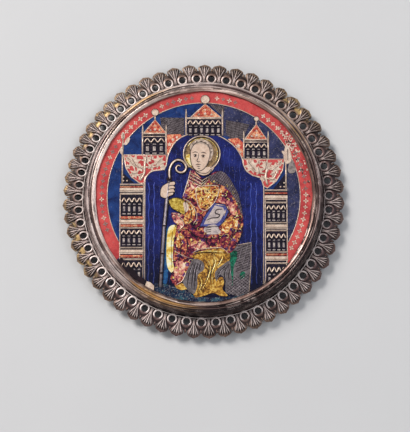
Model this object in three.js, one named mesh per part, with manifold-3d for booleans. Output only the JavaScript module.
// A round enamelled medallion. A silver plaque with an enamel picture is held by a bezel inside a raised
// collar, which stands on a pierced cresting of cast palmettes, and a dished plate closes the back.
// Units are millimetres with +Z up. The origin is the middle of the underside, and +Y is the picture's top.

import * as THREE from 'three';
import { mergeVertices } from 'three/addons/utils/BufferGeometryUtils.js';
import Module from 'manifold-3d';

const wasm = await Module();
wasm.setup();

// ---------------------------------------------------------------- driving dimensions

const GAP = 0.3; // clear space between neighbouring pieces
const ROUND = 52; // sides of every turned ring and disc

// heights, from the table up
const BACK_SHEET = 0.8;
const BACK_RIM_TOP = 1.7;
const CREST_UNDERSIDE = BACK_RIM_TOP + GAP;
const CREST_THICKNESS = 1.2;
const CREST_TOP = CREST_UNDERSIDE + CREST_THICKNESS;
const RING_FOOT = CREST_TOP + GAP;
const BEARING_TOP = 7.1;
const PLAQUE_UNDERSIDE = BEARING_TOP + GAP;
const PLAQUE_THICKNESS = 0.9;
const PLAQUE_TOP = PLAQUE_UNDERSIDE + PLAQUE_THICKNESS;
const LIP_UNDERSIDE = PLAQUE_TOP + GAP;
const LIP_TOP = 9.2;
const COLLAR_TOP = 9.3;

// radii, from the axis out
const BEARING_RADIUS = 37.4;
const LIP_RADIUS = 38.3;
const SEAT_RADIUS = 38.8;
const PLAQUE_RADIUS = SEAT_RADIUS - GAP;
const BEZEL_RADIUS = 39.4;
const COLLAR_BORE = BEZEL_RADIUS + GAP;
const COLLAR_RADIUS = 42.3;
const BACK_RADIUS = 41;
const BACK_RIM_WALL = 1.2;
const CREST_BORE = 37;
const FLANGE_RADIUS = 42.7;
const HOLE_CIRCLE = 44.3;
const NECK_RADIUS = 45.9;
const VALLEY_RADIUS = 47.2;
const TIP_RADIUS = 50.1;

// the cresting's repeat: the palmettes were set out by eye, so their spacing drifts slowly round the ring
const PALMETTES = 55;
const FIRST_PALMETTE_DEG = 11.5;
const SLOW_DRIFT = { swingDeg: 3.9, waves: 1, phaseDeg: -71 };
const QUICK_DRIFT = { swingDeg: 1.3, waves: 2, phaseDeg: -38 };

// each pierced hole and its raised rim
const HOLE_RADIUS = 1.07;
const RIM_RADIUS = 1.65;
const RIM_HEIGHT = 0.4;
const HOLE_SIDES = 7;

// each palmette's relief, as heights above the flat of the cresting
const NECK_HEIGHT = 0.7;
const LOBE_HEIGHT = 0.25;
const CLEFT_HEIGHT = -0.25;
const STEM_HEIGHT = 0.2;
const ROOT = 0.3; // how far above the underside a leaf is rooted in the plate
const DROOP = 0.9; // how far the tips curl down
const DROOP_START = 46.2;

// half a palmette's edge, from its tip to the foot of its stem:
// share of the pitch off its axis, radius, and height above the flat
const LEAF_EDGE = [
  { off: 0, radius: TIP_RADIUS, height: LOBE_HEIGHT },
  { off: 0.13, radius: 49.6, height: CLEFT_HEIGHT },
  { off: 0.25, radius: 49.3, height: LOBE_HEIGHT },
  { off: 0.29, radius: 48.3, height: CLEFT_HEIGHT },
  { off: 0.42, radius: 48, height: LOBE_HEIGHT },
  { off: 0.13, radius: NECK_RADIUS, height: CLEFT_HEIGHT },
  { off: 0.07, radius: FLANGE_RADIUS, height: STEM_HEIGHT },
];

// ---------------------------------------------------------------- solids

/** A geometry's positions as one closed, indexed mesh without slivers. */
function closed(geometry) {
  const bare = geometry.clone();
  for (const name of Object.keys(bare.attributes)) {
    if (name !== 'position') {
      bare.deleteAttribute(name);
    }
  }
  const merged = mergeVertices(bare);
  const corners = [];
  const index = merged.getIndex().array;
  for (let i = 0; i < index.length; i += 3) {
    const [a, b, c] = [index[i], index[i + 1], index[i + 2]];
    if (a !== b && b !== c && c !== a) {
      corners.push(a, b, c);
    }
  }
  merged.setIndex(corners);
  return merged;
}

/** A closed geometry as a solid that can be joined and cut. */
function toSolid(geometry) {
  const mesh = closed(geometry);
  const vertProperties = new Float32Array(mesh.getAttribute('position').array);
  const triVerts = new Uint32Array(mesh.getIndex().array);
  return new wasm.Manifold(new wasm.Mesh({ numProp: 3, vertProperties, triVerts }));
}

/** A joined and cut solid as a geometry again. */
function toGeometry(solid) {
  const { vertProperties, triVerts } = solid.getMesh();
  const geometry = new THREE.BufferGeometry();
  geometry.setAttribute('position', new THREE.BufferAttribute(vertProperties, 3));
  geometry.setIndex(new THREE.BufferAttribute(triVerts, 1));
  geometry.computeVertexNormals();
  return geometry;
}

/** A profile of [radius, height] pairs, from the bottom outwards and back over the top, turned about Z. */
function turned(profile) {
  const points = profile.map(([radius, height]) => new THREE.Vector2(radius, height));
  const geometry = new THREE.LatheGeometry(points, ROUND);
  geometry.rotateX(Math.PI / 2);
  return closed(geometry);
}

/** A ring whose profile closes on itself. */
function turnedRing(profile) {
  return turned([...profile, profile[0]]);
}

// ---------------------------------------------------------------- the cresting's setting out

/** One part of the drift, in degrees, at a station counted in palmettes. */
function drift({ swingDeg, waves, phaseDeg }, station) {
  const turn = (2 * Math.PI * waves * station) / PALMETTES;
  return swingDeg * Math.sin(turn + THREE.MathUtils.degToRad(phaseDeg));
}

/** The angle of a station, clockwise from the picture's top: palmettes at whole numbers, holes half-way. */
function angleAt(station) {
  const even = FIRST_PALMETTE_DEG + (360 / PALMETTES) * station;
  const degrees = even + drift(SLOW_DRIFT, station) + drift(QUICK_DRIFT, station);
  return THREE.MathUtils.degToRad(degrees);
}

/** The point at a station and radius, in plan. */
function place(station, radius) {
  const angle = angleAt(station);
  return new THREE.Vector2(radius * Math.sin(angle), radius * Math.cos(angle));
}

/** Lowers the outer ends of the leaves, so that their tips curl down. */
function droop(geometry) {
  const position = geometry.getAttribute('position');
  for (let i = 0; i < position.count; i += 1) {
    const radius = Math.hypot(position.getX(i), position.getY(i));
    const reach = Math.max(0, radius - DROOP_START) / (TIP_RADIUS - DROOP_START);
    position.setZ(i, position.getZ(i) - DROOP * reach * reach);
  }
  return geometry;
}

// ---------------------------------------------------------------- the cresting

/** The flat plate that joins the palmettes: round inside, and cornered at each valley outside. */
function crestPlate() {
  const edge = [];
  for (let n = 0; n < PALMETTES; n += 1) {
    edge.push(place(n + 0.5, VALLEY_RADIUS));
  }
  const shape = new THREE.Shape(edge);
  const bore = new THREE.Path();
  bore.absarc(0, 0, CREST_BORE, 0, 2 * Math.PI, false);
  shape.holes.push(bore);
  const plate = new THREE.ExtrudeGeometry(shape, {
    depth: CREST_THICKNESS,
    bevelEnabled: false,
    curveSegments: ROUND / 2,
  });
  plate.translate(0, 0, CREST_UNDERSIDE);
  return toSolid(plate);
}

/** One palmette's folded leaf and stem: a cone whose foot follows the leaf's edge, low at the clefts. */
function leaf(n) {
  const mirrored = LEAF_EDGE.slice(1).reverse().map((corner) => ({ ...corner, off: -corner.off }));
  const foot = [...mirrored, ...LEAF_EDGE];
  const cone = closed(new THREE.ConeGeometry(1, 1, foot.length, 1));
  const position = cone.getAttribute('position');
  const neck = place(n, NECK_RADIUS);
  for (let i = 0; i < position.count; i += 1) {
    const [x, y, z] = [position.getX(i), position.getY(i), position.getZ(i)];
    if (Math.hypot(x, z) < 0.5) {
      position.setXYZ(i, neck.x, neck.y, y > 0 ? CREST_TOP + NECK_HEIGHT : CREST_UNDERSIDE + ROOT);
    } else {
      const turn = 1 - Math.atan2(x, z) / (2 * Math.PI);
      const corner = foot[Math.round(turn * foot.length) % foot.length];
      const at = place(n + corner.off, corner.radius);
      position.setXYZ(i, at.x, at.y, CREST_TOP + corner.height);
    }
  }
  return toSolid(droop(cone));
}

/** A short upright cylinder at a station, from one height to another. */
function drum(station, radius, low, high) {
  const cylinder = new THREE.CylinderGeometry(radius, radius, high - low, HOLE_SIDES);
  cylinder.rotateX(Math.PI / 2);
  cylinder.rotateZ(-angleAt(station));
  const at = place(station, HOLE_CIRCLE);
  cylinder.translate(at.x, at.y, (low + high) / 2);
  return toSolid(cylinder);
}

function makeCresting() {
  let solid = crestPlate();
  for (let n = 0; n < PALMETTES; n += 1) {
    solid = solid.add(leaf(n));
    solid = solid.add(drum(n + 0.5, RIM_RADIUS, CREST_UNDERSIDE + ROOT, CREST_TOP + RIM_HEIGHT));
  }
  for (let n = 0; n < PALMETTES; n += 1) {
    solid = solid.subtract(drum(n + 0.5, HOLE_RADIUS, 0, COLLAR_TOP));
  }
  return toGeometry(solid);
}

// ---------------------------------------------------------------- the turned pieces

/** The raised moulding: a steep outer wall, a rounded shoulder and a groove beside the bezel. */
function makeCollar() {
  return turnedRing([
    [COLLAR_BORE, RING_FOOT],
    [COLLAR_RADIUS, RING_FOOT],
    [COLLAR_RADIUS - 0.1, RING_FOOT + 1],
    [COLLAR_RADIUS - 0.5, RING_FOOT + 3.1],
    [COLLAR_RADIUS - 0.8, RING_FOOT + 4.6],
    [COLLAR_RADIUS - 1.3, COLLAR_TOP - 0.25],
    [COLLAR_RADIUS - 1.8, COLLAR_TOP],
    [COLLAR_RADIUS - 2.2, COLLAR_TOP - 0.1],
    [COLLAR_BORE, COLLAR_TOP - 0.7],
  ]);
}

/** The setting: an upright strap with a lip turned in over the plaque, and the bearing that it rests on. */
function makeBezel() {
  return turnedRing([
    [BEARING_RADIUS, RING_FOOT],
    [BEZEL_RADIUS, RING_FOOT],
    [BEZEL_RADIUS, LIP_TOP - 0.3],
    [BEZEL_RADIUS - 0.3, LIP_TOP],
    [LIP_RADIUS + 0.3, LIP_TOP - 0.1],
    [LIP_RADIUS, LIP_UNDERSIDE + 0.15],
    [LIP_RADIUS, LIP_UNDERSIDE],
    [SEAT_RADIUS, LIP_UNDERSIDE],
    [SEAT_RADIUS, BEARING_TOP],
    [BEARING_RADIUS, BEARING_TOP],
  ]);
}

/** The plaque: a thin disc of silver with its enamel, level all over. */
function makePlaque() {
  return turned([
    [0, PLAQUE_UNDERSIDE],
    [PLAQUE_RADIUS, PLAQUE_UNDERSIDE],
    [PLAQUE_RADIUS, PLAQUE_TOP - 0.1],
    [PLAQUE_RADIUS - 0.1, PLAQUE_TOP],
    [0, PLAQUE_TOP],
  ]);
}

/** The back: a shallow dish of plain sheet with a thick rim turned up all round. */
function makeBackPlate() {
  const rimInside = BACK_RADIUS - BACK_RIM_WALL;
  return turned([
    [0, 0],
    [BACK_RADIUS - 0.4, 0],
    [BACK_RADIUS, 0.4],
    [BACK_RADIUS, BACK_RIM_TOP],
    [rimInside, BACK_RIM_TOP],
    [rimInside, BACK_SHEET],
    [0, BACK_SHEET],
  ]);
}

// ---------------------------------------------------------------- materials and assembly

function metal(color, roughness) {
  return new THREE.MeshStandardMaterial({ color, metalness: 1, roughness });
}

const PIECES = [
  { name: 'back_plate', geometry: makeBackPlate(), material: metal(0x7a6658, 0.5) },
  { name: 'cresting', geometry: makeCresting(), material: metal(0x8f7468, 0.42) },
  { name: 'collar', geometry: makeCollar(), material: metal(0x9a8078, 0.35) },
  { name: 'bezel', geometry: makeBezel(), material: metal(0xc4b4a0, 0.3) },
  {
    name: 'plaque',
    geometry: makePlaque(),
    material: new THREE.MeshStandardMaterial({ color: 0x26307a, metalness: 0.3, roughness: 0.15 }),
  },
];

const medallion = new THREE.Group();
for (const { name, geometry, material } of PIECES) {
  const mesh = new THREE.Mesh(geometry, material);
  mesh.name = name;
  medallion.add(mesh);
}

export default medallion;
